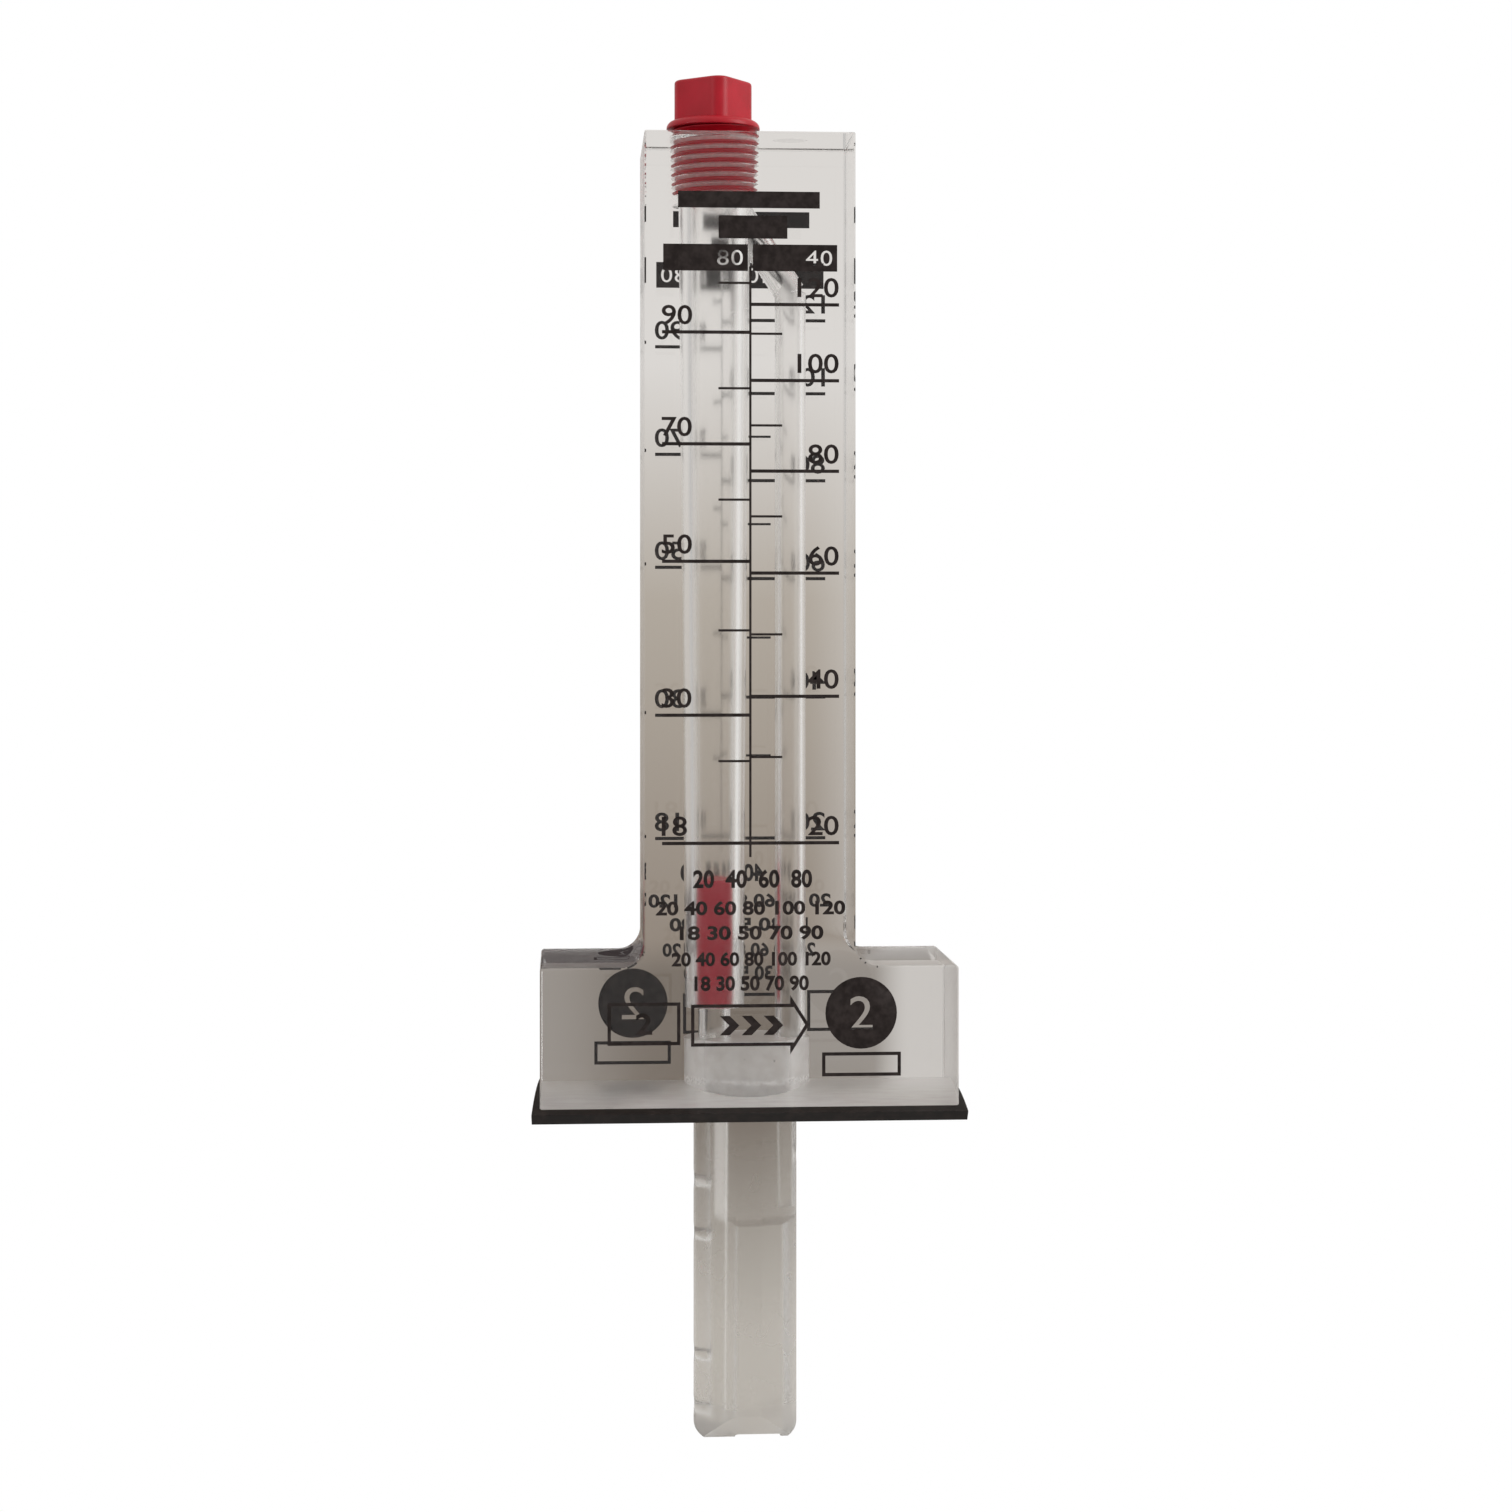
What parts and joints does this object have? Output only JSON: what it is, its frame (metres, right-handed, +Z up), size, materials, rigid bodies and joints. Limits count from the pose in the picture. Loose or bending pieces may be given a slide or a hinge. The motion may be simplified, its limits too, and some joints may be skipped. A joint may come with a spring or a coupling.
{
  "type": "rotameter",
  "caption": "Insertion flow meter in clear plastic: a T-shaped block with a red float in a tapered bore, a probe below, a rubber saddle gasket and a screwed top plug.",
  "frame": {"origin": "the point where the probe's axis meets the top of the pipe, which is the crown of the gasket's underside", "axes": "+Z up along the probe's axis and the float bore, +X along the flow in the pipe, -Y out of the front face"},
  "size_m": [0.0654, 0.028, 0.2089],
  "materials": {
    "clear_block": "clear machined and polished acrylic",
    "clear_probe": "clear moulded plastic",
    "gasket_rubber": "matt black sheet rubber",
    "plug_red": "satin moulded plastic",
    "float_red": "satin plastic",
    "scale_ink": "black printing ink"
  },
  "bodies": {
    "meter": {"meter_body": "clear_block", "pitot_probe": "clear_probe", "saddle_gasket": "gasket_rubber", "front_scale_print": "scale_ink", "back_scale_print": "scale_ink"},
    "float": {"float": "float_red"},
    "plug": {"top_plug": "plug_red"}
  },
  "joints": [
    {"name": "float_rise", "type": "slide", "parent": "meter", "child": "float", "axis": [0, 0, 1], "range_m": [0, 0.1043]},
    {"name": "plug_lift", "type": "slide", "parent": "meter", "child": "plug", "axis": [0, 0, 1], "range_m": [0, 0.012]}
  ]
}
